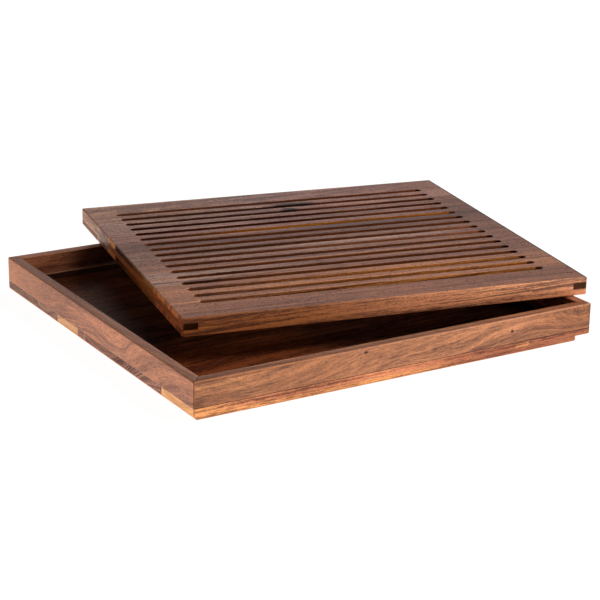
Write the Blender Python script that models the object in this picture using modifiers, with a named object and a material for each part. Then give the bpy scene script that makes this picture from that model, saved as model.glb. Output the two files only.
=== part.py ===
"""Walnut bread board: a slotted cutting grid lying askew on its shallow crumb tray.

The tray is an edge-glued base with four mitred walls round it and a seat rail inside each wall.
The grid is an edge-glued board with through slots and a tongue let into each end.
It drops inside the walls onto the rails, flush with the rim. Here it lies across the rim instead.
Metres, +Z up, +X to the right, -Y to the front. The origin is the middle of the tray's underside.
"""

import math

import bmesh
import bpy

MM = 0.001

# Tray
TRAY_LENGTH = 400 * MM
TRAY_DEPTH = 372 * MM
TRAY_HEIGHT = 33 * MM
BASE_THICKNESS = 10 * MM
WALL_THICKNESS = 10 * MM
RAIL_WIDTH = 7.5 * MM
FINGER_REBATE_WIDTH = 15.6 * MM
FINGER_REBATE_HEIGHT = 4.3 * MM
LEFT_BEVEL = 3 * MM
TRAY_ARRIS = 1.2 * MM
RIM_ARRIS = 0.8 * MM

# Slotted grid
GRID_THICKNESS = 16.7 * MM
GRID_CLEARANCE = 0.7 * MM
SLOT_WIDTH = 8 * MM
SLOT_COUNT = 17
SLOT_END_MARGIN = 26 * MM
SLOTS_SHIFT_BACK = 1.3 * MM
TONGUE_DEPTH = 13.8 * MM
TONGUE_THICKNESS = 5.8 * MM
TONGUE_FOOT = 6.1 * MM
GRID_ARRIS = 1.4 * MM

# Where the grid lies on the tray, from the tray's middle to the grid's
GRID_SHIFT_RIGHT = 59.05 * MM
GRID_SHIFT_BACK = 42.9 * MM
GRID_TURN = math.radians(-11.17)

# Glue lines and seats
GLUE_GAP = 0.3 * MM
REST_GAP = 0.3 * MM
OVERRUN = 5 * MM

# Edges of the glued staves, front to back, as shares of the panel's depth
BASE_STAVE_SHARES = (0, 0.149, 0.349, 0.538, 0.699, 0.817, 1)
GRID_STAVE_SHARES = (0, 0.2515, 0.4486, 0.6286, 0.8215, 1)

# Step from one slot to the next as a share of the grid's depth, so each stave keeps its slots
SLOT_PITCH_SHARE = 0.0495

SLOT_ARC_STEPS = 8
ARRIS_SEGMENTS = 2

# What fits inside what
OPENING_LENGTH = TRAY_LENGTH - 2 * WALL_THICKNESS
OPENING_DEPTH = TRAY_DEPTH - 2 * WALL_THICKNESS
GRID_LENGTH = OPENING_LENGTH - 2 * GRID_CLEARANCE
GRID_DEPTH = OPENING_DEPTH - 2 * GRID_CLEARANCE
SLOT_PITCH = GRID_DEPTH * SLOT_PITCH_SHARE
WALL_FOOT = BASE_THICKNESS + GLUE_GAP
RAIL_TOP = TRAY_HEIGHT - GRID_THICKNESS
RAIL_HEIGHT = RAIL_TOP - WALL_FOOT

WALNUT = {
    "tray_wall_front": (0.33, 0.165, 0.085),
    "tray_wall_back": (0.22, 0.105, 0.055),
    "tray_wall_left": (0.40, 0.21, 0.125),
    "tray_wall_right": (0.30, 0.15, 0.08),
    "seat_rail": (0.16, 0.08, 0.045),
    "base_stave_1": (0.50, 0.26, 0.12),
    "base_stave_2": (0.20, 0.105, 0.07),
    "base_stave_3": (0.19, 0.10, 0.065),
    "base_stave_4": (0.48, 0.27, 0.15),
    "base_stave_5": (0.21, 0.11, 0.075),
    "base_stave_6": (0.20, 0.115, 0.08),
    "grid_stave_1": (0.33, 0.17, 0.10),
    "grid_stave_2": (0.26, 0.15, 0.10),
    "grid_stave_3": (0.16, 0.10, 0.08),
    "grid_stave_4": (0.25, 0.14, 0.10),
    "grid_stave_5": (0.25, 0.145, 0.11),
    "grid_tongue": (0.10, 0.055, 0.04),
}


def clear_scene():
    for old in list(bpy.data.objects):
        bpy.data.objects.remove(old)


def new_collection(name):
    group = bpy.data.collections.new(name)
    bpy.context.scene.collection.children.link(group)
    return group


def walnut_material(name, color):
    """Oiled walnut of one tone."""
    material = bpy.data.materials.new(name)
    material.use_nodes = True
    shader = material.node_tree.nodes["Principled BSDF"]
    shader.inputs["Base Color"].default_value = (*color, 1)
    shader.inputs["Roughness"].default_value = 0.45
    shader.inputs["Metallic"].default_value = 0
    return material


def box_mesh(name, length, depth, height):
    """A block centred on X and Y that stands on Z = 0."""
    mesh = bpy.data.meshes.new(name)
    bm = bmesh.new()
    bmesh.ops.create_cube(bm, size=1)
    bmesh.ops.translate(bm, verts=bm.verts, vec=(0, 0, 0.5))
    bmesh.ops.scale(bm, verts=bm.verts, vec=(length, depth, height))
    bm.to_mesh(mesh)
    bm.free()
    return mesh


def mitred_mesh(name, length, width, height, arris):
    """A bar along X whose outer face, at Y = 0, is the longer one. Its ends run in at 45 degrees.
    The top edge on the inner side is eased."""
    mesh = bpy.data.meshes.new(name)
    bm = bmesh.new()
    bmesh.ops.create_cube(bm, size=1)
    bmesh.ops.translate(bm, verts=bm.verts, vec=(0, 0.5, 0.5))
    bmesh.ops.scale(bm, verts=bm.verts, vec=(length, width, height))
    inner = [v for v in bm.verts if v.co.y > width / 2]
    bmesh.ops.scale(bm, verts=inner, vec=((length - 2 * width) / length, 1, 1))
    top_inner = [e for e in bm.edges if all(v in inner and v.co.z > height / 2 for v in e.verts)]
    bmesh.ops.bevel(
        bm, geom=top_inner, affect="EDGES", offset=arris, segments=ARRIS_SEGMENTS, profile=0.5, material=-1
    )
    bm.to_mesh(mesh)
    bm.free()
    return mesh


def place(name, mesh, group, location=(0, 0, 0), turn=0, parent=None, color=None):
    """One object in its collection, with its own walnut tone."""
    obj = bpy.data.objects.new(name, mesh)
    group.objects.link(obj)
    obj.location = location
    obj.rotation_euler = (0, 0, turn)
    obj.parent = parent
    if color is not None:
        obj.data.materials.append(walnut_material(name, color))
    return obj


def as_cutter(obj):
    obj.hide_render = True
    obj.display_type = "WIRE"
    return obj


def cut(obj, operand, operation):
    """A live Boolean that keeps, removes or adds what the operand covers."""
    boolean = obj.modifiers.new(operand.name, "BOOLEAN")
    boolean.operation = operation
    boolean.solver = "EXACT"
    boolean.object = operand
    return boolean


def ease_edges(obj, width):
    """Rounds every sharp edge of a plain block."""
    bevel = obj.modifiers.new("eased edges", "BEVEL")
    bevel.limit_method = "ANGLE"
    bevel.width = width
    bevel.segments = ARRIS_SEGMENTS
    return bevel


def slot_outline_points():
    """Corners of one slot seen from above: two straight sides and two half-round ends."""
    radius = SLOT_WIDTH / 2
    half_straight = GRID_LENGTH / 2 - SLOT_END_MARGIN - radius
    points = []
    for side in (1, -1):
        for step in range(SLOT_ARC_STEPS + 1):
            angle = side * (math.pi / 2 - math.pi * step / SLOT_ARC_STEPS)
            x = side * (half_straight + radius * math.cos(angle))
            y = radius * math.sin(angle)
            points.append((x, y))
    return points


def slot_cutter(parent, group):
    """The prisms that cut all the slots: one flat outline, drawn through the board and repeated."""
    curve = bpy.data.curves.new("slot_outline", "CURVE")
    curve.dimensions = "2D"
    curve.fill_mode = "BOTH"
    curve.extrude = GRID_THICKNESS / 2 + OVERRUN
    points = slot_outline_points()
    spline = curve.splines.new("POLY")
    spline.points.add(len(points) - 1)
    for target, (x, y) in zip(spline.points, points):
        target.co = (x, y, 0, 1)
    spline.use_cyclic_u = True
    drawn = bpy.data.objects.new("slot_outline", curve)
    group.objects.link(drawn)
    bpy.context.view_layer.update()
    evaluated = drawn.evaluated_get(bpy.context.evaluated_depsgraph_get())
    mesh = bpy.data.meshes.new_from_object(evaluated)
    bm = bmesh.new()
    bm.from_mesh(mesh)
    bmesh.ops.remove_doubles(bm, verts=bm.verts, dist=0.1 * GLUE_GAP)
    bmesh.ops.recalc_face_normals(bm, faces=bm.faces)
    bm.to_mesh(mesh)
    bm.free()
    bpy.data.objects.remove(drawn)
    first_row = SLOTS_SHIFT_BACK - SLOT_PITCH * (SLOT_COUNT - 1) / 2
    cutter = place("slots", mesh, group, (0, first_row, GRID_THICKNESS / 2), 0, parent)
    rows = cutter.modifiers.new("rows", "ARRAY")
    rows.count = SLOT_COUNT
    rows.use_relative_offset = False
    rows.use_constant_offset = True
    rows.constant_offset_displace = (0, SLOT_PITCH, 0)
    rows.use_merge_vertices = False
    return as_cutter(cutter)


def staves(prefix, shares, depth, block, form, group, parent=None):
    """Cuts a machined panel into its glued staves. block gives a stave's length, height and foot."""
    length, height, foot = block
    last = len(shares) - 2
    for index, (low_share, high_share) in enumerate(zip(shares, shares[1:])):
        low = depth * (low_share - 0.5) + (GLUE_GAP / 2 if index else -OVERRUN)
        high = depth * (high_share - 0.5) + (OVERRUN if index == last else -GLUE_GAP / 2)
        name = f"{prefix}_{index + 1}"
        mesh = box_mesh(name, length, high - low, height)
        stave = place(name, mesh, group, (0, (low + high) / 2, foot), 0, parent, WALNUT[name])
        cut(stave, form, "INTERSECT")


def frame_sides(length, depth):
    """Name, length, middle of the outer face and turn of the four bars of a mitred frame."""
    return (
        ("front", length, (0, -depth / 2), 0),
        ("right", depth, (length / 2, 0), math.pi / 2),
        ("back", length, (0, depth / 2), math.pi),
        ("left", depth, (-length / 2, 0), -math.pi / 2),
    )


def tray_form(cutters):
    """The whole tray as one machined block: eased outside, pocket, finger rebate and left bevel."""
    form = place("tray_form", box_mesh("tray_form", TRAY_LENGTH, TRAY_DEPTH, TRAY_HEIGHT), cutters)
    ease_edges(form, TRAY_ARRIS)

    pocket_mesh = box_mesh("pocket", OPENING_LENGTH, OPENING_DEPTH, TRAY_HEIGHT)
    pocket = as_cutter(place("pocket", pocket_mesh, cutters, (0, 0, BASE_THICKNESS)))
    cut(form, pocket, "DIFFERENCE")

    rebate_depth = TRAY_DEPTH + 2 * OVERRUN
    rebate_mesh = box_mesh(
        "finger_rebate", FINGER_REBATE_WIDTH + OVERRUN, rebate_depth, FINGER_REBATE_HEIGHT + OVERRUN
    )
    rebate_middle = TRAY_LENGTH / 2 - (FINGER_REBATE_WIDTH - OVERRUN) / 2
    rebate = as_cutter(place("finger_rebate", rebate_mesh, cutters, (rebate_middle, 0, -OVERRUN)))
    cut(form, rebate, "DIFFERENCE")

    # A square bar stood on its corner along the lower left edge leaves a 45 degree bevel
    bar_side = LEFT_BEVEL * math.sqrt(2)
    bevel_mesh = box_mesh("left_bevel", bar_side, rebate_depth, bar_side)
    bevel_bar = as_cutter(place("left_bevel", bevel_mesh, cutters, (-TRAY_LENGTH / 2, 0, 0)))
    bevel_bar.rotation_euler = (0, math.pi / 4, 0)
    bevel_bar.location.x -= LEFT_BEVEL / 2
    bevel_bar.location.z -= LEFT_BEVEL / 2
    cut(form, bevel_bar, "DIFFERENCE")
    return as_cutter(form)


def build_tray(parts, cutters):
    form = tray_form(cutters)

    wall_height = TRAY_HEIGHT - WALL_FOOT
    for side, length, (x, y), turn in frame_sides(TRAY_LENGTH, TRAY_DEPTH):
        name = f"tray_wall_{side}"
        bar_length = length - math.sqrt(2) * GLUE_GAP
        mesh = mitred_mesh(name, bar_length, WALL_THICKNESS, wall_height, RIM_ARRIS)
        wall = place(name, mesh, parts, (x, y, WALL_FOOT), turn, None, WALNUT[name])
        cut(wall, form, "INTERSECT")

    block = (TRAY_LENGTH + 2 * OVERRUN, BASE_THICKNESS + OVERRUN, -OVERRUN)
    staves("base_stave", BASE_STAVE_SHARES, TRAY_DEPTH, block, form, parts)

    rail_length = OPENING_LENGTH - 2 * GLUE_GAP
    rail_depth = OPENING_DEPTH - 2 * GLUE_GAP
    for side, length, (x, y), turn in frame_sides(rail_length, rail_depth):
        name = f"seat_rail_{side}"
        bar_length = length - math.sqrt(2) * GLUE_GAP
        mesh = mitred_mesh(name, bar_length, RAIL_WIDTH, RAIL_HEIGHT, RIM_ARRIS)
        place(name, mesh, parts, (x, y, WALL_FOOT), turn, None, WALNUT["seat_rail"])


def build_grid(parts, cutters):
    """The slotted board, lying level across the back and right walls. Its empty is its lifting axis."""
    handle = bpy.data.objects.new("grid_lift", None)
    parts.objects.link(handle)
    handle.location = (GRID_SHIFT_RIGHT, GRID_SHIFT_BACK, TRAY_HEIGHT + REST_GAP)
    handle.rotation_euler = (0, 0, GRID_TURN)

    blank_mesh = box_mesh("grid_blank", GRID_LENGTH, GRID_DEPTH, GRID_THICKNESS)
    blank = as_cutter(place("grid_blank", blank_mesh, cutters, parent=handle))
    ease_edges(blank, GRID_ARRIS)
    form = place("grid_form", blank_mesh.copy(), cutters, parent=handle)
    ease_edges(form, GRID_ARRIS)
    as_cutter(form)
    cut(form, slot_cutter(handle, cutters), "DIFFERENCE")

    across = GRID_DEPTH + 2 * OVERRUN
    for side, sign in (("left", -1), ("right", 1)):
        groove_mesh = box_mesh(f"groove_{side}", TONGUE_DEPTH + OVERRUN, across, TONGUE_THICKNESS)
        groove_middle = sign * (GRID_LENGTH / 2 - (TONGUE_DEPTH - OVERRUN) / 2)
        groove = place(f"groove_{side}", groove_mesh, cutters, (groove_middle, 0, TONGUE_FOOT), 0, handle)
        cut(form, as_cutter(groove), "DIFFERENCE")

        name = f"grid_tongue_{side}"
        tongue_mesh = box_mesh(
            name, TONGUE_DEPTH + OVERRUN - GLUE_GAP, across, TONGUE_THICKNESS - 2 * GLUE_GAP
        )
        tongue_middle = sign * (GRID_LENGTH / 2 - (TONGUE_DEPTH - GLUE_GAP - OVERRUN) / 2)
        location = (tongue_middle, 0, TONGUE_FOOT + GLUE_GAP)
        tongue = place(name, tongue_mesh, parts, location, 0, handle, WALNUT["grid_tongue"])
        cut(tongue, blank, "INTERSECT")

    block = (GRID_LENGTH + 2 * OVERRUN, GRID_THICKNESS + 2 * OVERRUN, -OVERRUN)
    staves("grid_stave", GRID_STAVE_SHARES, GRID_DEPTH, block, form, parts, handle)


def main():
    clear_scene()
    parts = new_collection("bread_board")
    cutters = new_collection("cutters")
    build_tray(parts, cutters)
    build_grid(parts, cutters)


main()
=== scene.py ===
"""A bread board in oiled walnut: a slotted cutting grid lying askew on its crumb tray.

Every piece is cut from a larger blank, as a joiner would. The tray's walls and the seat rails are
sawn out of a ring at the mitres, and the staves out of a machined panel at the glue lines.
Metres, +Z up, +X to the right, -Y to the front. Board patterns are written in millimetres.
"""

import math

import bmesh
import bpy
from bpy.props import FloatProperty, FloatVectorProperty, IntProperty, PointerProperty
from mathutils import Matrix, Vector


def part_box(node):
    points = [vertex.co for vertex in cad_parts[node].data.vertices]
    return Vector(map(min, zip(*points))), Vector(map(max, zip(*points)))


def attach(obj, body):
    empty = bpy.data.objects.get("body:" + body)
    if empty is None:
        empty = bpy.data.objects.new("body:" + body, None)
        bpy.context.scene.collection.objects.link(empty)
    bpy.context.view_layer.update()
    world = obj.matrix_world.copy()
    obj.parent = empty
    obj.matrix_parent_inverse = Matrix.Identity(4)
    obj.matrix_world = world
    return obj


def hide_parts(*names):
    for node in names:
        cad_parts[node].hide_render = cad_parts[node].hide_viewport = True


bl_info = {
    "name": "Walnut bread board",
    "version": (1, 0, 0),
    "blender": (4, 5, 0),
    "location": "3D View > Sidebar > Bread board",
    "description": "Builds a slotted bread board and its crumb tray in oiled walnut",
    "category": "Object",
}

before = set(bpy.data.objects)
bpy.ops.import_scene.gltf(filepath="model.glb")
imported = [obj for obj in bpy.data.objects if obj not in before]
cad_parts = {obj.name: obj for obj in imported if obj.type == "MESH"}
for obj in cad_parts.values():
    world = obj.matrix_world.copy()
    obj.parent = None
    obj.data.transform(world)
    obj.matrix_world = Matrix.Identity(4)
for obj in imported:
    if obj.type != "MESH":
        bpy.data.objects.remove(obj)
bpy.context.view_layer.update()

MM = 0.001

# The directions that the four sides face
OUTWARD = {"front": (0, -1), "right": (1, 0), "back": (0, 1), "left": (-1, 0)}

# Two places nearer than this count as one, and corners this near are welded, in metres
SAME = 1e-6
WELD = 1e-7

# A face counts as upright where its normal rises less than this
UPRIGHT_RISE = 0.3

# Edges bent by more than this shade as sharp
SHARP_ANGLE = math.radians(40)


def linear(hex_color):
    """An sRGB hex colour as linear RGB."""
    channels = (int(hex_color[place : place + 2], 16) / 255 for place in (0, 2, 4))
    return tuple(c / 12.92 if c <= 0.04045 else ((c + 0.055) / 1.055) ** 2.4 for c in channels)


def glue_lines(prefix, count):
    """The Y places where a tray panel's staves meet, halfway between neighbouring solids."""
    boxes = [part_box(f"{prefix}_{number}") for number in range(1, count + 1)]
    return [(low_stave[1].y + high_stave[0].y) / 2 for low_stave, high_stave in zip(boxes, boxes[1:])]


# The tray's and the grid's places, as the solids have them
TRAY_LOW = Vector((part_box("tray_wall_left")[0].x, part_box("tray_wall_front")[0].y, 0))
TRAY_HIGH = Vector((-TRAY_LOW.x, -TRAY_LOW.y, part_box("tray_wall_front")[1].z))
BASE_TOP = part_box("base_stave_1")[1].z
GRID_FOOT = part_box("grid_stave_1")[0].z
BASE_GLUE_LINES = glue_lines("base_stave", 6)

# Where the grid's glue lines run, as shares of its depth
GRID_STAVE_SHARES = (0.2515, 0.4486, 0.6286, 0.8215)


def length(label, note, millimetres):
    return FloatProperty(name=label, description=note, default=millimetres * MM, min=0, unit="LENGTH")


def tone(label, note, hex_color):
    return FloatVectorProperty(
        name=label, description=note, default=linear(hex_color), size=3, min=0, max=1, subtype="COLOR"
    )


class BreadBoardTraySizes(bpy.types.PropertyGroup):
    wall: length("Wall", "Thickness of the four walls", 10)
    rail_width: length("Rail width", "How far the seat rails stand in from the walls", 7.5)
    rail_top: length("Rail height", "Height of the rails' top above the table", 16.3)
    rebate_width: length("Finger rebate width", "Width of the step under the right end", 15.6)
    rebate_height: length("Finger rebate height", "Height of the step under the right end", 4.3)
    left_bevel: length("Left bevel", "Bevel along the lower left edge", 3)
    arris: length("Outer arris", "Rounding of the outer edges", 1.2)
    rim_arris: length("Inner arris", "Rounding of the rim's and rails' inner edges", 0.8)
    hairline: length("Hairline", "Easing of each edge at an open joint", 0.32)


class BreadBoardGridSizes(bpy.types.PropertyGroup):
    length: length("Length", "Along the grain and the slots", 378.6)
    depth: length("Depth", "Across the staves", 350.6)
    thickness: length("Thickness", "Thickness of the board", 16.7)
    arris: length("Arris", "Rounding of the outer edges", 1.4)
    slot_width: length("Slot width", "Width of each slot", 8)
    slot_pitch: length("Slot pitch", "Step from one slot to the next", 17.355)
    slots_back: length("Slots back", "How far the slots' middle lies behind the board's", 1.3)
    slot_margin: length("Slot margin", "Solid wood between the slots and each end", 26)
    slot_lip: length("Slot lip", "Rounding of the slots' edges", 0.6)
    slot_count: IntProperty(name="Slots", description="How many slots the board has", default=17, min=1)
    tongue_depth: length("Tongue depth", "How far the end tongues reach in", 13.8)
    tongue_height: length("Tongue height", "Thickness of the end tongues", 5.8)
    tongue_foot: length("Tongue foot", "Height of the tongues above the board's underside", 6.1)
    shift: FloatVectorProperty(
        name="Shift",
        description="From the tray's middle to the grid's",
        default=(59.05 * MM, 42.9 * MM),
        size=2,
        unit="LENGTH",
    )
    turn: FloatProperty(
        name="Turn",
        description="How far the grid is turned on the tray",
        default=math.radians(-11.17),
        unit="ROTATION",
    )


class BreadBoardTones(bpy.types.PropertyGroup):
    front_wall: tone("Front wall", "Front wall of the tray", "A56A47")
    # The left wall's own tone, made lighter with painted light
    left_wall: tone("Left wall", "Left wall of the tray", "DC8C63")
    # The rim's tone is grey-brown, darkened with painted shade from the grid above it
    rim: tone("Rim", "The tray's rim, greyed by hands", "966853")
    back_wall: tone("Back and right walls", "The tray walls behind the grid", "9A6042")
    rails: tone("Seat rails", "The ledge that the grid sits on", "664230")
    base_front: tone("Base front stave", "Pale stave under the front wall", "D08A57")
    base_dark: tone("Base heartwood", "The base's darker staves, as their ends show them", "9C6853")
    grid_1: tone("Grid stave 1", "Front stave of the grid", "B87A5B")
    margin: tone("Grid margin", "The front stave before the first slot", "A06850")
    grid_2: tone("Grid stave 2", "Second stave of the grid", "986856")
    grid_3: tone("Grid stave 3", "Dark middle stave of the grid", "805649")
    grid_4: tone("Grid stave 4", "Fourth stave of the grid", "996B5F")
    grid_5: tone("Grid stave 5", "Back stave of the grid", "A87769")
    tongues: tone("Tongues", "Cross-grain tongues at the grid's ends", "B56128")
    sapwood: tone("Sapwood", "Pale sapwood at the edge of a stave", "E09C6B")
    red: tone("Red heartwood", "The redder end of the base's front stave", "88503A")
    # The floor's tone is dark walnut darkened further with painted shade; the light floor is painted light
    # where light reaches it
    floor: tone("Tray floor", "The tray's floor between the walls", "220A04")
    floor_light: tone("Light floor", "The floor where it is paler, to the left", "6C361D")
    # This tone is also laid as painted light on some slot walls
    rose: tone("Rose streak", "The upper half of the base's front stave", "B87050")
    pale: tone("Pale streak", "Light streaks in the front wall", "C4824F")
    umber: tone("Umber streak", "Darker parts of the front wall", "8A5333")
    # This tone is also laid as painted light on the walls of the front slots
    amber: tone("Amber streak", "The orange streak in the grid's fourth stave", "C07420")
    # Painted shade on the slots' walls
    slot_wall: tone("Slot walls", "The walls of the grid's slots, where the oil lies thick", "763D19")
    # The deepest painted shade, on the back slots' walls
    ember: tone("Ember", "The darkest slot walls, soaked in oil", "42140A")
    grid_edge: tone("Grid edge", "The grid's front edge at its left end", "9A5A32")
    # This tone is also laid as a painted highlight along the left wall's top outer arris
    flame: tone("Pale edge", "The grid's front edge, paler to the right", "B97552")
    ash: tone("Ash", "Paler, greyer streaks in the grid", "BE9484")
    slate: tone("Slate", "Bluish dark streaks in the grid", "6A4C48")
    dusk: tone("Dusk", "The darker right ends of the grid's staves", "744A3C")
    # The arris tone is partly the sanding's paling and partly a painted highlight
    arris: tone("Arris", "The arrises, where the sanding has paled the wood", "C97B45")
    # The pore tone also serves as painted shade on the grid's right arris and the slots' ends, and darkens
    # the tray's right arris
    pore: tone("Pores", "The dark insides of pores, knots and open joints", "2A1712")


class BreadBoardFinish(bpy.types.PropertyGroup):
    roughness: FloatProperty(
        name="Roughness", description="Satin of the oiled wood", default=0.34, min=0, max=1
    )
    pore_depth: length("Pore depth", "Depth of the open pores", 0.08)


# Cutting pieces out of blanks


def block(low, high):
    """A box between two corners, as a new bmesh."""
    bm = bmesh.new()
    low, high = Vector(low), Vector(high)
    bmesh.ops.create_cube(bm, size=1)
    bmesh.ops.scale(bm, verts=bm.verts, vec=high - low)
    bmesh.ops.translate(bm, verts=bm.verts, vec=(low + high) / 2)
    return bm


def ease_edges(bm, edges, width, segments=3, mark="arris"):
    """Bevels edges and marks the new faces: as an arris, paled by sanding and by a painted highlight,
    or as a joint, where oil and dust gather."""
    if not edges:
        return
    # A new layer makes old handles to a bmesh's parts stale, so the edges are kept by number
    bm.edges.index_update()
    numbers = [edge.index for edge in edges]
    marks = bm.faces.layers.float.get(mark) or bm.faces.layers.float.new(mark)
    bm.edges.ensure_lookup_table()
    eased = bmesh.ops.bevel(
        bm,
        geom=[bm.edges[number] for number in numbers],
        affect="EDGES",
        offset=width,
        segments=segments,
        profile=0.5,
        material=-1,
        clamp_overlap=True,
    )
    for face in eased["faces"]:
        face[marks] = 1


def open_joint(bm, edges, width):
    """Eases both sides of a joint to a fine V."""
    ease_edges(bm, edges, width, 1, "joint")


def saw(bm, point, normal):
    """Cuts a blank through, drops the side that the normal points to and closes the cut."""
    cut = bmesh.ops.bisect_plane(
        bm,
        geom=bm.verts[:] + bm.edges[:] + bm.faces[:],
        dist=WELD,
        plane_co=point,
        plane_no=normal,
        clear_outer=True,
    )
    edges = [part for part in cut["geom_cut"] if isinstance(part, bmesh.types.BMEdge)]
    bmesh.ops.holes_fill(bm, edges=edges, sides=0)


def level_edges(bm, height):
    """Edges that lie wholly at one height."""
    return [e for e in bm.edges if all(abs(v.co.z - height) < SAME for v in e.verts)]


def upright_edges(bm):
    """Edges that stand upright."""
    return [e for e in bm.edges if (e.verts[0].co - e.verts[1].co).xy.length < WELD]


def on_outside(edge, low, high):
    """True where the middle of an edge lies on the outline of a rectangle seen from above."""
    middle = (edge.verts[0].co + edge.verts[1].co) / 2
    sides = (middle.x - low.x, high.x - middle.x, middle.y - low.y, high.y - middle.y)
    return min(abs(side) for side in sides) < SAME


def at_left(edge):
    """True for an edge on the tray's left face, where the wall's foot shows no open joint."""
    return all(abs(vert.co.x - TRAY_LOW.x) < SAME for vert in edge.verts)


def ring(low, high, width):
    """A rectangular frame with square edges: a block with its middle taken out."""
    bm = block(low, high)
    caps = [f for f in bm.faces if abs(f.normal.z) > UPRIGHT_RISE]
    bmesh.ops.inset_region(bm, faces=caps, thickness=width, use_even_offset=True)
    walls = [e for cap in caps for e in cap.edges]
    bmesh.ops.delete(bm, geom=caps, context="FACES_ONLY")
    bmesh.ops.bridge_loops(bm, edges=walls)
    bmesh.ops.recalc_face_normals(bm, faces=bm.faces)
    return bm


def mitred_side(blank, low, high, side, hairline):
    """One side of a ring, sawn off at its two mitres, with a hairline easing round both cuts."""
    bm = blank.copy()
    out = Vector((*OUTWARD[side], 0))
    along = Vector((-out.y, out.x, 0))
    half = (high - low) / 2
    middle = (high + low) / 2
    for sign in (1, -1):
        reach = out + sign * along
        corner = middle + Vector((reach.x * half.x, reach.y * half.y, 0))
        normal = (sign * along - out).normalized()
        saw(bm, corner, normal)
        if hairline:
            cut = [e for e in bm.edges if all(abs((v.co - corner).dot(normal)) < SAME for v in e.verts)]
            open_joint(bm, cut, hairline)
    return bm


def saw_sides(blank, low, high, hairline, prefix, node):
    """Saws a ring into its four mitred sides, which are pieces of the tray, and uses it up."""
    for side in OUTWARD:
        bm = mitred_side(blank, low, high, side, hairline)
        finish_piece(f"{prefix}_{side}", bm, f"{node}_{side}", "tray")
    blank.free()


def saw_staves(panel, lines, body, prefix, move=None):
    """Saws a glued panel into its staves at the glue lines, which run from its front to its back."""
    for number, (near, far) in enumerate(zip(lines, lines[1:]), 1):
        stave = panel.copy()
        if near > lines[0]:
            saw(stave, (0, near, 0), (0, -1, 0))
        if far < lines[-1]:
            saw(stave, (0, far, 0), (0, 1, 0))
        finish_piece(f"{prefix}_{number}", stave, f"{prefix}_stave_{number}", body, move)
    panel.free()


def finish_piece(name, bm, node, body, move=None):
    """Writes a bmesh to an object that stands for a CAD node and takes its walnut."""
    bmesh.ops.remove_doubles(bm, verts=bm.verts, dist=WELD)
    bmesh.ops.recalc_face_normals(bm, faces=bm.faces)
    if move is not None:
        bmesh.ops.transform(bm, matrix=move, verts=bm.verts)
    mesh = bpy.data.meshes.new(name)
    bm.to_mesh(mesh)
    bm.free()
    mesh.shade_smooth()
    mesh.set_sharp_from_angle(angle=SHARP_ANGLE)
    mesh.materials.append(walnut(name, node))
    piece = bpy.data.objects.new(name, mesh)
    bpy.context.scene.collection.objects.link(piece)
    # Keeps the broad faces flat, so that only the rounded arrises shade as curves
    weighted = piece.modifiers.new("flat faces", "WEIGHTED_NORMAL")
    weighted.keep_sharp = True
    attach(piece, body)
    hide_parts(node)


# Walnut

# Each board has its own frame in millimetres: u along the grain, v across and w through it. Its
# growth rings are cylinders round a pith line, given by where that line crosses u = 0 (pith) and
# how far it drifts for each millimetre along u. The rest, all optional but ring and sway:
#   ring, run    width of a ring, and how far a band of them keeps its tone along the grain
#   sway         how far the rings wander
#   contrast     strength of the figure
#   fleck        strength of the short fibres against the long lines
#   edge         how much stronger the figure is on the board's narrow faces
#   gloss        specular level of the satin
#    arris        how far the wood is paled along its arrises, by sanding and by a painted highlight
#   swirls       grain pushed across, as round a buried branch: u, v, w, reach along, across, push
#   knots        dark cores: u, v, w, radius along, across
#   stains       patches of another tone: its name, its strength, then the limits that it lies
#                between. A limit is an axis, x, y or z for u, v or w, where along it the patch starts
#                to show and where it is whole. On an axis with a minus the patch lies below that.
#                Limits less than 2 mm wide run dead straight. The axis "figure" keeps a patch to the
#                wood that is lighter than start, from 0 to 1
#    slots        patches that show on the slots' walls alone: painted shade, and painted light where the walls are lit
#   pore         how wide the pores are drawn across the board, and pore_dark how dark they are
#   end          what the end grain's tone is multiplied by, red, green, blue
#   end_gain     how much the bands of rings stand out on the end grain


def tray_board(tone_name, origin, grain, across, **figure):
    """A board of the tray. Its origin is in millimetres from the tray's front left bottom corner."""
    corner = Vector(origin) * MM + TRAY_LOW
    return {"tone": tone_name, "origin": corner, "grain": Vector(grain), "across": Vector(across), **figure}


def grid_board(tone_name, origin=(0, 0, 0), grain=(1, 0, 0), across=(0, 1, 0), **figure):
    """A board of the grid. Its origin is in millimetres from the grid's front left bottom corner."""
    turned = {"origin": Vector(origin), "grain": Vector(grain), "across": Vector(across), "grid": True}
    # The left end's foot is darker; the right end's top arris and the slots' right ends are darkened with
    # painted shade
    left_foot = ("pore", 0.25, ("-z", 7, 4), GRID_LEFT)
    right_arris_shade = ("pore", 0.8, ("x", 375.6, 376.4), ("z", 14.3, 15))
    stains = (*figure.pop("stains", ()), left_foot, right_arris_shade)
    slots = (*figure.pop("slots", ()), ("pore", 0.7, ("x", 347, 348.5)))
    surface = {"stains": stains, "slots": slots, "arris": 0.15, "pore": 2, "pore_dark": 0.6}
    return {"tone": tone_name, **turned, **figure, **surface}


def seat_rail(origin, grain, across, sign, pith):
    """A seat rail, whose inner face carries painted shade nearly as dark as the floor. The sign turns v to
    face inwards.
    """
    inner_face_shade = ("floor", 0.8, ("y" if sign > 0 else "-y", sign * 16.8, sign * 17.3))
    return tray_board("rails", origin, grain, across, pith=pith, sway=2, ring=3.5, stains=(inner_face_shade,))


# Origin, grain and width of the base's staves, which all lie along X
ALONG_X = ((0, 0, 0), (1, 0, 0), (0, 1, 0))

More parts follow.
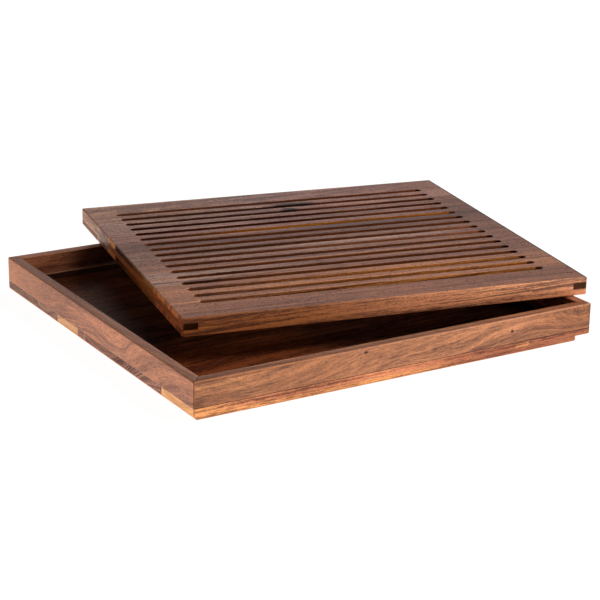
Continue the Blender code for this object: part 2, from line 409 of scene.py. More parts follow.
# Limits that mark a face or an edge: the tray's rim and its right arris, the back wall's inner face,
# and the grid's front face and left end
RIM = ("y", 32.6, 32.9)
RIGHT_ARRIS = ("x", 397.8, 398.6)
BACK_WALL_FACE = ("z", 9.2, 9.6)
GRID_FRONT = ("-y", 2.4, 1.4)
GRID_LEFT = ("-x", 1.6, 1)

# The dark knot across the glue line between the grid's two back staves
BRANCH = (196.5, 286, 12, 8, 5)

# The tray's floor between the walls, darkened with painted shade, with painted light at the front left and
# the back left
INSIDE_LIMITS = (("z", 9.4, 9.7), ("x", 9.5, 10), ("-x", 390.5, 390), ("y", 9.5, 10), ("-y", 362.5, 362))
INSIDE = (
    ("floor", 1, *INSIDE_LIMITS),
    ("red", 0.2, ("figure", 0.4, 1), *INSIDE_LIMITS),
    ("floor_light", 1, ("-y", 155, 100), ("-x", 195, 120), *INSIDE_LIMITS),
    ("floor_light", 0.6, ("y", 240, 300), ("-x", 110, 85), *INSIDE_LIMITS),
)


def heart_stave(contrast=1.8, stains=(), **figure):
    """One of the base's darker staves."""
    shared = {"contrast": contrast, "gloss": 0.1, "pore": 2, "fleck": 1.5, "stains": (*stains, *INSIDE)}
    return tray_board("base_dark", *ALONG_X, **shared, **figure)


BOARDS = {
    "tray_wall_front": tray_board(
        "front_wall", (0, 0, 0), (1, 0, 0), (0, 0, 1),
        pith=(-50, -90), drift=(0.06, 0.03), sway=3, ring=7, run=200, contrast=0.9,
        swirls=(
            (78, 14, 0, 85, 40, 9), (150, 30, 0, 30, 10, -3),
            (404, 20, 0, 44, 13, 14), (250, 12, 0, 40, 12, 4),
        ),
        knots=((161, 29, 0, 2.0, 1.0), (312.5, 21.4, 0, 1.5, 1.4)),
        stains=(
            ("umber", 0.9, ("x", 300, 390)),
            ("umber", 0.5, ("-x", 60, 20), ("-y", 24, 18)),
            ("umber", 0.3, ("x", 50, 70), ("-x", 150, 120)),
            ("pore", 0.4, RIGHT_ARRIS),
            ("pore", 0.35, ("x", -6, -1), ("-x", 16, 5), ("y", 8, 11), ("-y", 22, 18)),
            ("pale", 0.45, ("x", -4, 3), ("-x", 75, 40), ("y", 22, 25), ("-y", 31, 27)),
            ("umber", 0.8, ("-x", 130, 100), ("y", 29.5, 31)),
            # Along the top the arris and the rim are darkened with painted shade from the grid
            ("umber", 0.4, ("y", 32, 32.6)),
            ("umber", 1, RIM, ("-z", -1, -2), ("z", -5, -3.8)),
            ("dusk", 0.5, RIM, ("-z", -1.6, -2.2), ("z", -4.6, -3.6)),
            ("ash", 0.3, RIM, ("-z", -5, -9), ("-x", 330, 100)),
        ),
    ),
    "tray_wall_left": tray_board(
        "left_wall", (0, 0, 0), (0, 1, 0), (0, 0, 1),
        pith=(90, 60), drift=(-0.2, 0.02), sway=3, ring=13, run=300, contrast=0.8, fleck=0.6,
        swirls=((142, 14, 0, 30, 18, 9), (40, 26, 0, 50, 12, -8)),
        stains=(
            ("sapwood", 0.6, ("x", 127, 134), ("-x", 152, 136), ("-y", 19, 13)),
            ("umber", 0.15, ("x", 30, 50), ("-x", 115, 80)),
            ("umber", 0.3, ("x", 200, 300)),
            # A painted highlight along the top outer arris
            ("flame", 0.5, ("y", 31.6, 32)),
            # The rim takes the rim's tone, with its painted shade from the grid
            ("rim", 0.8, RIM),
            ("ash", 0.35, RIM, ("z", 5, 9)),
            ("dusk", 0.5, RIM, ("x", 150, 260)),
        ),
    ),
    "tray_wall_back": tray_board(
        "back_wall", (0, 372, 0), (1, 0, 0), (0, 0, 1), pith=(-40, 180), drift=(0.02, 0.02), sway=4, ring=5,
        stains=(
            # The inner face is darkened with painted shade, and lightened with painted light towards its
            # left end
            ("floor", 0.65, BACK_WALL_FACE),
            ("left_wall", 0.36, ("-x", 72, 48), BACK_WALL_FACE),
        ),
    ),
    "tray_wall_right": tray_board(
        "back_wall", (400, 0, 0), (0, 1, 0), (0, 0, 1), pith=(60, 200), drift=(0.05, 0.02), sway=4, ring=6
    ),
    "seat_rail_front": seat_rail((0, 0, 0), (1, 0, 0), (0, 1, 0), 1, pith=(-30, 60)),
    "seat_rail_right": seat_rail((400, 0, 0), (0, 1, 0), (-1, 0, 0), 1, pith=(-40, 70)),
    "seat_rail_back": seat_rail((0, 372, 0), (1, 0, 0), (0, 1, 0), -1, pith=(50, -60)),
    "seat_rail_left": seat_rail((0, 0, 0), (0, 1, 0), (-1, 0, 0), -1, pith=(50, 50)),
    "base_stave_1": tray_board(
        "base_front", *ALONG_X, pith=(30, 60), drift=(0, 0.006), sway=1.2, ring=4, run=400,
        end=(1.55, 1.85, 2.3), contrast=1.1, edge=1.4, gloss=0.1,
        stains=(
            ("rose", 0.9, ("x", 0, 60), ("z", 3.4, 5)),
            ("red", 1, ("x", 160, 300)),
            ("pore", 0.4, RIGHT_ARRIS),
            ("red", 0.4, ("x", 60, 100), ("-x", 180, 140)),
            ("pale", 0.5, ("x", 316, 317.5), ("-x", 333, 331), ("z", 4.5, 5.5), ("-z", 9, 8)),
            *INSIDE,
        ),
    ),
    "base_stave_2": heart_stave(pith=(40, -90), drift=(0, 0.02), sway=3, ring=3, end=(1.2, 1.43, 1.69)),
    "base_stave_3": heart_stave(pith=(170, 70), drift=(0.02, 0.01), sway=4, ring=4, end=(1.02, 1.2, 1.42)),
    "base_stave_4": heart_stave(
        pith=(230, -70), sway=3, ring=5, end=(0.85, 0.97, 1.2), contrast=1.6,
        stains=(
            ("sapwood", 1, ("y", 216, 217.5)),
            ("sapwood", 0.5, ("y", 201, 202), ("-y", 204, 203)),
        ),
    ),
    "base_stave_5": heart_stave(pith=(290, 50), drift=(0, 0.02), sway=4, ring=5, end=(0.95, 1.19, 1.45)),
    "base_stave_6": heart_stave(pith=(330, -60), drift=(0.01, 0.02), sway=4, ring=5, end=(1.3, 1.75, 2)),
    "grid_stave_1": grid_board(
        "grid_1", pith=(-70, -50), drift=(0.01, 0.02), sway=2, ring=3,
        end=(1.9, 1.55, 1), end_gain=3, contrast=1, edge=2.1, fleck=0.7,
        stains=(
            ("margin", 1, ("-y", 40, 34)),
            ("dusk", 0.4, ("x", 190, 290), ("-y", 40, 34)),
            ("dusk", 0.35, ("x", 240, 330), ("y", 34, 40)),
            ("grid_edge", 1, GRID_FRONT),
            ("flame", 1, GRID_FRONT, ("x", 70, 240)),
            ("sapwood", 0.35, GRID_FRONT, ("x", 230, 300), ("z", 6, 9)),
            ("grid_edge", 0.3, GRID_FRONT, ("-z", 7, 3)),
        ),
        # Painted shade on the slots' walls, darkest at their left ends, with painted light from x 40 to 200
        slots=(
            ("slot_wall", 0.5),
            ("amber", 0.55, ("x", 40, 200)),
            ("pore", 0.35, ("-x", 80, 40)),
        ),
    ),
    "grid_stave_2": grid_board(
        "grid_2", pith=(260, -30), drift=(0.015, 0), sway=2, ring=12, run=400,
        end=(0.88, 0.66, 0.2), end_gain=5, contrast=1.1,
        stains=(
            ("dusk", 0.6, ("x", 280, 370)),
            ("ash", 0.65, ("-x", 190, 80), ("y", 106, 110), ("-y", 126, 122)),
            ("ash", 0.4, ("-x", 90, 50), ("-y", 106, 103)),
            ("pore", 0.4, ("z", 11.5, 12.2), GRID_LEFT, ("y", 115, 130)),
            ("ash", 0.35, ("x", 40, 80), ("-x", 260, 180), ("y", 143, 147)),
        ),
        # Painted shade on the slots' walls, deeper in places
        slots=(
            ("slot_wall", 0.9),
            ("pore", 0.6, ("-x", 70, 50), ("-y", 100, 98)),
            ("pore", 0.5, ("x", 55, 65), ("-x", 130, 100), ("y", 108, 109), ("-y", 118, 117)),
        ),
    ),
    "grid_stave_3": grid_board(
        "grid_3", pith=(100, -50), drift=(0.01, 0.01), sway=2, ring=5,
        end=(0.8, 0.6, 0.25), end_gain=6, contrast=1.1,
        stains=(
            ("ash", 0.5, ("x", 60, 200), ("-x", 345, 310), ("-y", 177, 171)),
            ("ash", 0.15, ("-y", 193, 189)),
            ("slate", 1, ("x", 140, 210), ("y", 208, 212)),
            ("dusk", 0.8, ("x", 300, 370)),
            ("pore", 0.65, ("z", 11.5, 12.2), GRID_LEFT),
        ),
        # Painted shade on the slots' walls, with painted light in two places
        slots=(
            ("slot_wall", 0.9),
            ("rose", 0.6, ("x", 120, 220), ("-y", 171, 170)),
            ("rose", 0.6, ("x", 290, 320), ("y", 172, 173), ("-y", 184, 183)),
        ),
    ),
    "grid_stave_4": grid_board(
        "grid_4", pith=(350, -60), drift=(0, 0.01), sway=2, ring=5,
        end=(1.95, 1.9, 1.75), contrast=1.1, knots=(BRANCH,),
        stains=(
            ("sapwood", 1, ("-y", 247.5, 246), GRID_LEFT),
            ("amber", 0.5, ("-y", 247.5, 246), GRID_LEFT),
            ("slate", 0.9, ("x", 140, 230), ("-y", 234, 228)),
            ("dusk", 0.8, ("x", 300, 370)),
            ("slate", 0.35, ("x", 50, 150), ("-x", 290, 230), ("y", 246, 249), ("-y", 263, 260)),
            ("ash", 0.6, ("-x", 230, 150), ("y", 268, 276)),
            ("ash", 0.35, ("-x", 170, 130), ("y", 246, 250)),
        ),
        # Painted shade on the slots' walls, painted light on the front slots and the deepest painted shade
        # on the back ones
        slots=(
            ("slot_wall", 0.9),
            ("amber", 0.9, ("x", 60, 150), ("-y", 240, 238), ("y", 222, 223)),
            ("pore", 0.5, ("-x", 80, 50), ("y", 222, 223)),
            ("ember", 0.85, ("y", 240, 242), ("-y", 274, 272), ("-x", 270, 200)),
            ("ember", 0.5, ("y", 272, 274), ("-x", 270, 200)),
            ("ember", 0.6, ("y", 257, 258), ("x", 270, 300)),
        ),
    ),
    "grid_stave_5": grid_board(
        "grid_5", pith=(318, -80), drift=(0, 0.03), sway=3, ring=6,
        end=(1.75, 1.85, 1.75), contrast=1.1,
        swirls=((196, 293, 12, 30, 9, 8),), knots=(BRANCH, (205, 302.5, 12, 22, 3.6)),
        stains=(
            ("ash", 0.85, ("-x", 240, 130)),
            ("pale", 0.2, ("-x", 150, 60)),
            ("sapwood", 0.2, ("-x", 170, 130)),
            ("dusk", 0.5, ("x", 280, 370), ("y", 312, 322)),
            ("dusk", 0.9, ("-z", 6.5, 5.5), GRID_LEFT),
        ),
        # Painted shade on the slots' walls, deepest in places
        slots=(
            ("slot_wall", 0.9),
            ("ember", 0.5, ("-x", 270, 200), ("-y", 312, 310)),
            ("ember", 0.5, ("x", 270, 300), ("-y", 294, 292)),
        ),
    ),
    "grid_tongue_left": grid_board(
        "tongues", (0, 0, 0), (0, 1, 0), (-1, 0, 0), pith=(-40, -50), sway=2, ring=2.5,
        end=(0.1, 0.1, 0.11),
        stains=(("grid_5", 0.7, ("x", 246, 256)), ("sapwood", 0.7, ("x", 246, 256))),
    ),
    "grid_tongue_right": grid_board(
        "tongues", (378, 0, 0), (0, 1, 0), (-1, 0, 0), pith=(-40, 60), sway=2, ring=2.5,
        end=(0.11, 0.15, 0.38),
    ),
}


def add(tree, kind, inputs, output=0, **settings):
    """Adds a node with its settings, fills or links its inputs and gives back one of its outputs."""
    node = tree.nodes.new(kind)
    for name, value in settings.items():
        setattr(node, name, value)
    for name, value in inputs.items():
        if isinstance(value, bpy.types.NodeSocket):
            tree.links.new(value, node.inputs[name])
        else:
            node.inputs[name].default_value = value
    return node.outputs[output]


def board_frame(board):
    """Where a board's own millimetre frame stands in the scene: its origin, turn, grain and width."""
    axes = Matrix((board["grain"], board["across"], board["grain"].cross(board["across"]))).transposed()
    origin = board["origin"]
    if board.get("grid"):
        place = grid_place()
        origin = place @ (origin * MM)
        axes = place.to_3x3() @ axes
    return origin, axes.to_euler(), axes.col[0], axes.col[1]


# Sizes of the figure in millimetres, along and across the grain. Real pores are a tenth of a
# millimetre wide: they are drawn wide enough to show, and wider on boards seen at a low angle
WANDER_SIZE = (110, 34)
FIBRE_SIZE = (12, 1.3)
PORE_SIZE = (2.2, 0.6)

# How many bands and fine lines go to one ring's width
BANDS_PER_RING = 0.3
LINES_PER_RING = 1.6

# How strongly each part of the figure makes the wood lighter or darker
BAND_WEIGHT = 1.3
LINE_WEIGHT = 2.8
FIBRE_WEIGHT = 2
LATE_WOOD_WEIGHT = 0.3
LATE_WOOD_POWER = 4

# How much fainter the figure is on the slots' walls and on end grain, and how matt both are
SLOT_FADE = 0.5
END_FADE = 0.45
MATT = 0.9

# Noise from which on there is a pore, and where it is whole
PORE_NOISE = (0.54, 0.72)

# A face shows end grain as its normal turns along the grain, between these two
END_GRAIN = (0.6, 0.85)

# How much rougher the pores are, how high the fibres stand against the pores' depth, and the relief
PORE_ROUGHNESS = 0.2
FIBRE_HEIGHT = 1.2
RELIEF = 0.5

# Where a swirl's push has faded out, in reaches from its middle, and the same for a knot's dark core
SWIRL_END = 1.9
KNOT_END, KNOT_CORE = 1.4, 0.7

# Limits of a patch that lie closer than this run straight, and don't wander with the grain
STRAIGHT_LIMIT = 2

# How far apart two boards lie in the noise
SEED_STEP = 13.7

# What the darkest and the lightest wood multiply a board's tone by
DARKEST = (0.45, 0.42, 0.48, 1)
LIGHTEST = (1.6, 1.62, 1.5, 1)


def radii_from(tree, grain, middle, radii):
    """How far the wood lies from a point, counted in radii. A radius of 0 stands for one without end."""
    shape = [1 / radius if radius else 0 for radius in radii]
    offset = [-at * step for at, step in zip(middle, shape)]
    local = add(tree, "ShaderNodeVectorMath", {0: grain, 1: shape, 2: offset}, operation="MULTIPLY_ADD")
    return add(tree, "ShaderNodeVectorMath", {0: local}, "Value", operation="LENGTH")


def wandering_grain(tree, board, seed):
    """A board's own place, how far that lies along the grain, the place pushed about as the grain
    wanders, and the same for the rings, with the board's drift and swirls."""
    origin, turn, _, _ = board_frame(board)
    coordinates = add(tree, "ShaderNodeTexCoord", {}, "Object")
    grain = add(
        tree, "ShaderNodeMapping",
        {"Vector": coordinates, "Location": origin, "Rotation": turn, "Scale": (MM, MM, MM)},
        vector_type="TEXTURE",
    )
    along = add(tree, "ShaderNodeSeparateXYZ", {0: grain}, "X")

    # The grain wanders a few millimetres over a hand's breadth of board, and bulges round branches
    sway = board["sway"]
    steps = (1 / WANDER_SIZE[0], 1 / WANDER_SIZE[1], 1 / WANDER_SIZE[1])
    place = add(
        tree, "ShaderNodeVectorMath", {0: grain, 1: steps, 2: (seed, 0, 0)}, operation="MULTIPLY_ADD"
    )
    wander = add(
        tree, "ShaderNodeTexNoise", {"Vector": place, "Scale": 1, "Detail": 2, "Roughness": 0.4}, "Color"
    )
    wandered = add(
        tree, "ShaderNodeVectorMath", {0: wander, 1: (0, 2 * sway, 2 * sway), 2: grain},
        operation="MULTIPLY_ADD",
    )
    drift_v, drift_w = board.get("drift", (0, 0))
    across, through = (
        add(tree, "ShaderNodeVectorMath", {0: wandered, 1: axis}, "Value", operation="DOT_PRODUCT")
        for axis in ((-drift_v, 1, 0), (-drift_w, 0, 1))
    )
    for u, v, w, reach_along, reach_across, push in board.get("swirls", ()):
        reach = radii_from(tree, grain, (u, v, w), (reach_along, reach_across, reach_across))
        pushed = add(
            tree, "ShaderNodeMapRange",
            {"Value": reach, "From Min": 0, "From Max": SWIRL_END, "To Min": push, "To Max": 0},
            interpolation_type="SMOOTHERSTEP",
        )
        across = add(tree, "ShaderNodeMath", {0: across, 1: pushed}, operation="ADD")
    flow = add(tree, "ShaderNodeCombineXYZ", {0: along, 1: across, 2: through})
    return grain, along, wandered, flow


def stretched_noise(tree, place, steps, detail, roughness):
    """Noise at a place that is first divided into steps along its three axes."""
    place = add(tree, "ShaderNodeVectorMath", {0: place, 1: steps}, operation="MULTIPLY")
    return add(
        tree, "ShaderNodeTexNoise", {"Vector": place, "Scale": 1, "Detail": detail, "Roughness": roughness}
    )


def rings(tree, board, along, flow, seed):
    """The bands of rings, the fine lines between them and the late wood."""
    pith_v, pith_w = board["pith"]
    sway = board["sway"]
    from_pith = add(
        tree, "ShaderNodeVectorMath", {0: flow, 1: (0, 1, 1), 2: (0, -pith_v - sway, -pith_w - sway)},
        operation="MULTIPLY_ADD",
    )
    radius = add(tree, "ShaderNodeVectorMath", {0: from_pith}, "Value", operation="LENGTH")

    # Bands of several rings, a few millimetres to a few centimetres wide, that fade along the board,
    # and long thin lines between them
    run = 1 / board.get("run", 260)
    ring_width = board["ring"]
    place = add(tree, "ShaderNodeCombineXYZ", {0: radius, 1: along, 2: seed})
    bands = stretched_noise(tree, place, (BANDS_PER_RING / ring_width, run, 1), 3, 0.6)
    lines = stretched_noise(tree, place, (LINES_PER_RING / ring_width, run, 1), 4, 0.75)

    # Late wood: each ring darkens slowly outwards and ends at a sharp line
    ring_place = add(
        tree, "ShaderNodeMath", {0: radius, 1: 1 / ring_width, 2: bands}, operation="MULTIPLY_ADD"
    )
    phase = add(tree, "ShaderNodeMath", {0: ring_place}, operation="FRACT")
    late_wood = add(tree, "ShaderNodeMath", {0: phase, 1: LATE_WOOD_POWER}, operation="POWER")
    return bands, lines, late_wood


def fibres_and_pores(tree, board, flow):
    """Streaks and fibres, from 12 mm long down to about 3 mm, and short open pores."""
    length_along, width = FIBRE_SIZE
    fibres = stretched_noise(tree, flow, (1 / length_along, 1 / width, 1 / width), 2, 0.8)
    length_along, width = PORE_SIZE
    steps = (1 / length_along, 1 / board.get("pore", width), 1 / width)
    pore_noise = stretched_noise(tree, flow, steps, 1, 0.5)
    pores = add(
        tree, "ShaderNodeMapRange",
        {"Value": pore_noise, "From Min": PORE_NOISE[0], "From Max": PORE_NOISE[1]},
    )
    return fibres, pores


def lightness(tree, board, bands, lines, late_wood, fibres):
    """How light the wood is, from 0 to 1, and where it is a slot's wall or end grain."""
    _, _, grain_axis, across_axis = board_frame(board)
    fleck = FIBRE_WEIGHT * board.get("fleck", 1)
    late_wood_mean = LATE_WOOD_WEIGHT / (LATE_WOOD_POWER + 1)
    middle = 0.5 * (BAND_WEIGHT + LINE_WEIGHT + fleck) - late_wood_mean
    level = -middle
    for part, weight in (
        (bands, BAND_WEIGHT), (lines, LINE_WEIGHT), (fibres, fleck), (late_wood, -LATE_WOOD_WEIGHT)
    ):
        level = add(tree, "ShaderNodeMath", {0: part, 1: weight, 2: level}, operation="MULTIPLY_ADD")

    # The figure is stronger on the narrow faces and fainter on the slots' walls
    contrast = board.get("contrast", 1)
    normal = add(tree, "ShaderNodeTexCoord", {}, "Normal")
    sideways, facing = (
        add(tree, "ShaderNodeVectorMath", {0: normal, 1: axis}, "Value", operation="DOT_PRODUCT")
        for axis in (across_axis, grain_axis)
    )
    sideways, facing = (
        add(tree, "ShaderNodeMath", {0: part}, operation="ABSOLUTE") for part in (sideways, facing)
    )
    gain = add(
        tree, "ShaderNodeMath", {0: sideways, 1: contrast * (board.get("edge", 1) - 1), 2: contrast},
        operation="MULTIPLY_ADD",
    )
    in_slot = add(tree, "ShaderNodeAttribute", {}, "Fac", attribute_name="slot_wall")
    gain = add(
        tree, "ShaderNodeMath", {0: in_slot, 1: -SLOT_FADE * contrast, 2: gain}, operation="MULTIPLY_ADD"
    )
    end_grain = add(
        tree, "ShaderNodeMapRange",
        {"Value": facing, "From Min": END_GRAIN[0], "From Max": END_GRAIN[1]},
        interpolation_type="SMOOTHSTEP",
    )

    # On end grain the lines are fainter and the bands stand out
    gain = add(
        tree, "ShaderNodeMath", {0: end_grain, 1: -END_FADE * contrast, 2: gain}, operation="MULTIPLY_ADD"
    )
    level = add(tree, "ShaderNodeMath", {0: level, 1: gain, 2: 0.5}, operation="MULTIPLY_ADD")
    end_bands = add(tree, "ShaderNodeMath", {0: bands, 1: 0.5}, operation="SUBTRACT")
    end_bands = add(
        tree, "ShaderNodeMath", {0: end_bands, 1: board.get("end_gain", 2)}, operation="MULTIPLY"
    )
    level = add(
        tree, "ShaderNodeMath", {0: end_grain, 1: end_bands, 2: level}, operation="MULTIPLY_ADD",
        use_clamp=True,
    )
    return level, in_slot, end_grain


def stained(tree, board, grain, wandered, level, in_slot):
    """The board's own tone, with its patches of other tones laid over it one by one."""
    tones = bpy.context.scene.bread_board_tones
    wood = (*getattr(tones, board["tone"]), 1)
    stains = [(1, *stain) for stain in board.get("stains", ())]
    slot_stains = [(in_slot, *stain) for stain in board.get("slots", ())]
    for faces, stain, strength, *limits in stains + slot_stains:
        amount = add(tree, "ShaderNodeMath", {0: faces, 1: strength}, operation="MULTIPLY")
        for axis, start, whole in limits:
            sign = -1 if axis.startswith("-") else 1
            direction = [sign * (letter == axis[-1]) for letter in "xyz"]
            straight = abs(whole - start) < STRAIGHT_LIMIT
            shift = 0 if straight else board["sway"] * (direction[1] + direction[2])
            reach = level
            if axis != "figure":
                reach = add(
                    tree, "ShaderNodeVectorMath", {0: grain if straight else wandered, 1: direction},
                    "Value", operation="DOT_PRODUCT",
                )
            shown = add(
                tree, "ShaderNodeMapRange",
                {"Value": reach, "From Min": sign * start + shift, "From Max": sign * whole + shift},
                interpolation_type="SMOOTHSTEP",
            )
            amount = add(tree, "ShaderNodeMath", {0: amount, 1: shown}, operation="MULTIPLY")
        patch_color = (*getattr(tones, stain), 1)
        wood = add(tree, "ShaderNodeMix", {"Factor": amount, 6: wood, 7: patch_color}, 2, data_type="RGBA")
    return wood


def darkness(tree, board, grain, pores):
    """Where the wood is dark through: pores, open joints and the cores of knots."""
    dark = add(tree, "ShaderNodeMath", {0: pores, 1: board.get("pore_dark", 0.5)}, operation="MULTIPLY")
    joint = add(tree, "ShaderNodeAttribute", {}, "Fac", attribute_name="joint")
    dark = add(tree, "ShaderNodeMath", {0: dark, 1: joint}, operation="MAXIMUM")
    for *middle, radius_along, radius_across in board.get("knots", ()):
        reach = radii_from(tree, grain, middle, (radius_along, radius_across, 0))
        core = add(
            tree, "ShaderNodeMapRange",
            {"Value": reach, "From Min": KNOT_END, "From Max": KNOT_CORE, "To Min": 0, "To Max": 0.95},
        )
        dark = add(tree, "ShaderNodeMath", {0: dark, 1: core}, operation="MAXIMUM")
    return dark


def walnut(name, node):
    """Walnut, planed, sanded and oiled: brown rings with darker late wood, fine fibres and short open
    pores along the grain. The oil leaves a satin that turns pale at a low angle."""
    board = BOARDS[node]
    scene = bpy.context.scene
    tones, finish = scene.bread_board_tones, scene.bread_board_finish
    material = bpy.data.materials.new(f"oiled_walnut_{name}")
    material.use_nodes = True
    tree = material.node_tree
    shader = tree.nodes["Principled BSDF"]
    seed = SEED_STEP * list(BOARDS).index(node)

    grain, along, wandered, flow = wandering_grain(tree, board, seed)
    bands, lines, late_wood = rings(tree, board, along, flow, seed)
    fibres, pores = fibres_and_pores(tree, board, flow)
    level, in_slot, end_grain = lightness(tree, board, bands, lines, late_wood, fibres)
    wood = stained(tree, board, grain, wandered, level, in_slot)

    figure = add(tree, "ShaderNodeMix", {"Factor": level, 6: DARKEST, 7: LIGHTEST}, 2, data_type="RGBA")
    arris = add(tree, "ShaderNodeAttribute", {}, "Fac", attribute_name="arris")
    arris = add(tree, "ShaderNodeMath", {0: arris, 1: board.get("arris", 0.5)}, operation="MULTIPLY")
    end_tone = board.get("end", (0.8, 0.75, 0.7))
    # End grain drinks more oil, then come the figure, the arrises paled by sanding and by a painted
    # highlight, and what is dark through
    for factor, layer, blend_type in (
        (end_grain, (*end_tone, 1), "MULTIPLY"),
        (1, figure, "MULTIPLY"),
        (arris, (*tones.arris, 1), "MIX"),
        (darkness(tree, board, grain, pores), (*tones.pore, 1), "MIX"),
    ):
        wood = add(
            tree, "ShaderNodeMix", {"Factor": factor, 6: wood, 7: layer}, 2,
            data_type="RGBA", blend_type=blend_type,
        )

    # The satin is a little duller in the pores, which are real hollows
    roughness = add(
        tree, "ShaderNodeMath", {0: pores, 1: PORE_ROUGHNESS, 2: finish.roughness}, operation="MULTIPLY_ADD"
    )
    height = add(tree, "ShaderNodeMath", {0: fibres, 1: FIBRE_HEIGHT}, operation="MULTIPLY")
    height = add(tree, "ShaderNodeMath", {0: height, 1: pores}, operation="SUBTRACT")
    relief = {"Strength": RELIEF, "Distance": finish.pore_depth, "Height": height}
    bump = add(tree, "ShaderNodeBump", relief)

    # End grain and the sawn walls of the slots are matt
    gloss = board.get("gloss", 0.3)
    matt = add(tree, "ShaderNodeMath", {0: end_grain, 1: in_slot}, operation="MAXIMUM")
    gloss = add(tree, "ShaderNodeMath", {0: matt, 1: -MATT * gloss, 2: gloss}, operation="MULTIPLY_ADD")

    tree.links.new(gloss, shader.inputs["Specular IOR Level"])
    tree.links.new(wood, shader.inputs["Base Color"])
    tree.links.new(roughness, shader.inputs["Roughness"])
    tree.links.new(bump, shader.inputs["Normal"])
    return material


# The pieces


def grid_place():
    """The grid's own frame, from its front left bottom corner, as it lies on the tray."""
    sizes = bpy.context.scene.bread_board_grid
    middle = Matrix.Translation((*sizes.shift, GRID_FOOT))
    turned = Matrix.Rotation(sizes.turn, 4, "Z")
    corner = Matrix.Translation((-sizes.length / 2, -sizes.depth / 2, 0))
    return middle @ turned @ corner


class BREADBOARD_OT_tray_walls(bpy.types.Operator):
    """Saws the four mitred walls out of one ring with a rounded rim"""

    bl_idname = "breadboard.tray_walls"
    bl_label = "Tray walls"

    def execute(self, context):
        sizes = context.scene.bread_board_tray
        low = Vector((TRAY_LOW.x, TRAY_LOW.y, BASE_TOP))
        blank = ring(low, TRAY_HIGH, sizes.wall)
        top = level_edges(blank, TRAY_HIGH.z)
        outer = [e for e in top if on_outside(e, low, TRAY_HIGH)]
        corners = [e for e in upright_edges(blank) if on_outside(e, low, TRAY_HIGH)]
        ease_edges(blank, outer + corners, sizes.arris, 4)
        inner_low = low + Vector((sizes.wall, sizes.wall, 0))
        inner_high = TRAY_HIGH - Vector((sizes.wall, sizes.wall, 0))
        rim = [e for e in level_edges(blank, TRAY_HIGH.z) if on_outside(e, inner_low, inner_high)]
        ease_edges(blank, rim, sizes.rim_arris)
        foot = [e for e in level_edges(blank, low.z) if on_outside(e, low, TRAY_HIGH)]
        open_joint(blank, [e for e in foot if not at_left(e)], sizes.hairline)
        saw_sides(blank, low, TRAY_HIGH, sizes.hairline, "wall", "tray_wall")
        return {"FINISHED"}


class BREADBOARD_OT_seat_rails(bpy.types.Operator):
    """Saws the four seat rails out of a lower ring inside the walls"""

    bl_idname = "breadboard.seat_rails"
    bl_label = "Seat rails"

    def execute(self, context):
        sizes = context.scene.bread_board_tray
        inset = Vector((sizes.wall, sizes.wall, 0))
        low = Vector((TRAY_LOW.x, TRAY_LOW.y, BASE_TOP)) + inset
        high = Vector((TRAY_HIGH.x, TRAY_HIGH.y, sizes.rail_top)) - inset
        blank = ring(low, high, sizes.rail_width)
        rail = Vector((sizes.rail_width, sizes.rail_width, 0))
        edge = [e for e in level_edges(blank, high.z) if on_outside(e, low + rail, high - rail)]
        ease_edges(blank, edge, sizes.rim_arris)
        saw_sides(blank, low, high, 0, "rail", "seat_rail")
        return {"FINISHED"}


class BREADBOARD_OT_base_staves(bpy.types.Operator):
    """Shapes the glued base panel, with its finger rebate and bevel, and saws it into staves"""

    bl_idname = "breadboard.base_staves"
    bl_label = "Base staves"

    def execute(self, context):
        sizes = context.scene.bread_board_tray
        left, right, front = TRAY_LOW.x, TRAY_HIGH.x, TRAY_LOW.y
        step = right - sizes.rebate_width
        profile = (
            (left, BASE_TOP),
            (left, sizes.left_bevel),
            (left + sizes.left_bevel, 0),
            (step, 0),
            (step, sizes.rebate_height),
            (right, sizes.rebate_height),
            (right, BASE_TOP),
        )
        panel = bmesh.new()
        end = panel.faces.new([panel.verts.new((x, front, z)) for x, z in profile])
        made = bmesh.ops.extrude_face_region(panel, geom=[end])["geom"]
        moved = [part for part in made if isinstance(part, bmesh.types.BMVert)]
        bmesh.ops.translate(panel, verts=moved, vec=(0, TRAY_HIGH.y - TRAY_LOW.y, 0))
        bmesh.ops.recalc_face_normals(panel, faces=panel.faces)
        outer = []
        for edge in panel.edges:
            middle = (edge.verts[0].co + edge.verts[1].co) / 2
            inner_corner = abs(middle.x - step) < SAME and abs(middle.z - sizes.rebate_height) < SAME
            if middle.z < BASE_TOP - SAME and not inner_corner:
                outer.append(edge)
        ease_edges(panel, outer, sizes.arris)
        top = [e for e in level_edges(panel, BASE_TOP) if on_outside(e, TRAY_LOW, TRAY_HIGH)]
        open_joint(panel, [e for e in top if not at_left(e)], sizes.hairline)
        saw_staves(panel, (front, *BASE_GLUE_LINES, TRAY_HIGH.y), "tray", "base")
        return {"FINISHED"}


# Segments of a slot's rounded corners, and steps of its flared lips
SLOT_END_SEGMENTS = 8
LIP_STEPS = 4


